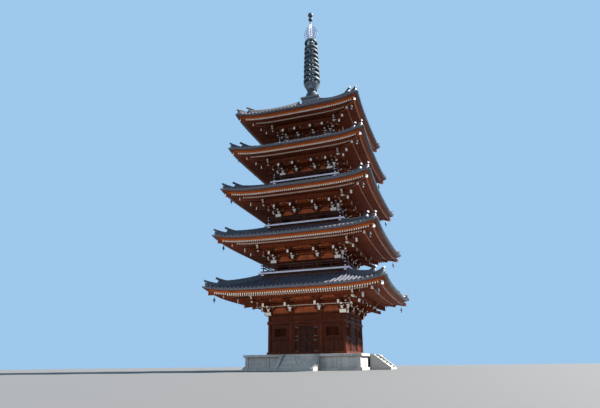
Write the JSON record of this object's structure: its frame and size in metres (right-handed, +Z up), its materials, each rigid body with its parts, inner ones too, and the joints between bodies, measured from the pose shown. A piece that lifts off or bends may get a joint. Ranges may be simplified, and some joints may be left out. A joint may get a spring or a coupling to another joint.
{
  "type": "five-storey timber pagoda",
  "caption": "Five-storey square timber pagoda with tiled roofs, bracketed eaves, balconies, hinged front doors and a ringed bronze spire on a stone podium.",
  "frame": {"origin": "on the ground under the mast, at the centre of the podium's foot", "axes": "+Z up, -Y out of the front, whose doors open, +X to the right as seen from the front"},
  "size_m": [15.288, 15.288, 39.35],
  "materials": {
    "podium_stone": "dressed pale granite with darker joints",
    "timber": "red-brown weathered cypress, matt with a slight sheen",
    "door_timber": "red-brown panelled timber with dark iron bosses",
    "rail_timber": "dark brown rails with white painted ends",
    "fascia_timber": "bright orange-brown eaves boards and rafters with white painted ends",
    "white_edge": "bluish white painted board edges over brown beams",
    "roof_tile": "dark blue-grey fired clay tiles with a soft gloss",
    "basin_tile": "dark weathered metal basin with a tiled foot",
    "bronze": "grey-green patinated bronze with pale highlights"
  },
  "bodies": {
    "tower": {"back_door_pair": "door_timber", "back_wall_left": "timber", "back_wall_right": "timber", "dew_basin": "basin_tile", "fifth_brackets": "timber", "fifth_eaves": "fascia_timber", "fifth_floor": "white_edge", "fifth_purlins": "fascia_timber", "fifth_railing": "rail_timber", "fifth_roof": "roof_tile", "fifth_walls": "timber", "first_brackets": "timber", "first_eaves": "fascia_timber", "first_purlins": "fascia_timber", "first_roof": "roof_tile", "fourth_brackets": "timber", "fourth_eaves": "fascia_timber", "fourth_floor": "white_edge", "fourth_purlins": "fascia_timber", "fourth_railing": "rail_timber", "fourth_roof": "roof_tile", "fourth_walls": "timber", "front_wall_left": "timber", "front_wall_right": "timber", "ground_floor": "timber", "ground_frame": "timber", "inverted_bowl": "bronze", "jewel_finial": "bronze", "left_door_pair": "door_timber", "left_wall_left": "timber", "left_wall_right": "timber", "nine_rings": "bronze", "podium": "podium_stone", "right_door_pair": "door_timber", "right_wall_left": "timber", "right_wall_right": "timber", "second_brackets": "timber", "second_eaves": "fascia_timber", "second_floor": "white_edge", "second_purlins": "fascia_timber", "second_railing": "rail_timber", "second_roof": "roof_tile", "second_walls": "timber", "steps_back": "podium_stone", "steps_front": "podium_stone", "steps_left": "podium_stone", "steps_right": "podium_stone", "third_brackets": "timber", "third_eaves": "fascia_timber", "third_floor": "white_edge", "third_purlins": "fascia_timber", "third_railing": "rail_timber", "third_roof": "roof_tile", "third_walls": "timber", "water_flame": "bronze"},
    "left_leaf": {"front_door_left": "door_timber"},
    "right_leaf": {"front_door_right": "door_timber"}
  },
  "joints": [
    {"name": "left_leaf_hinge", "type": "hinge", "parent": "tower", "child": "left_leaf", "pos_m": [-0.95, -3.27, 2.48], "axis": [0, 0, 1], "range_deg": [0, 90]},
    {"name": "right_leaf_hinge", "type": "hinge", "parent": "tower", "child": "right_leaf", "pos_m": [0.95, -3.27, 2.48], "axis": [0, 0, -1], "range_deg": [0, 90]}
  ]
}
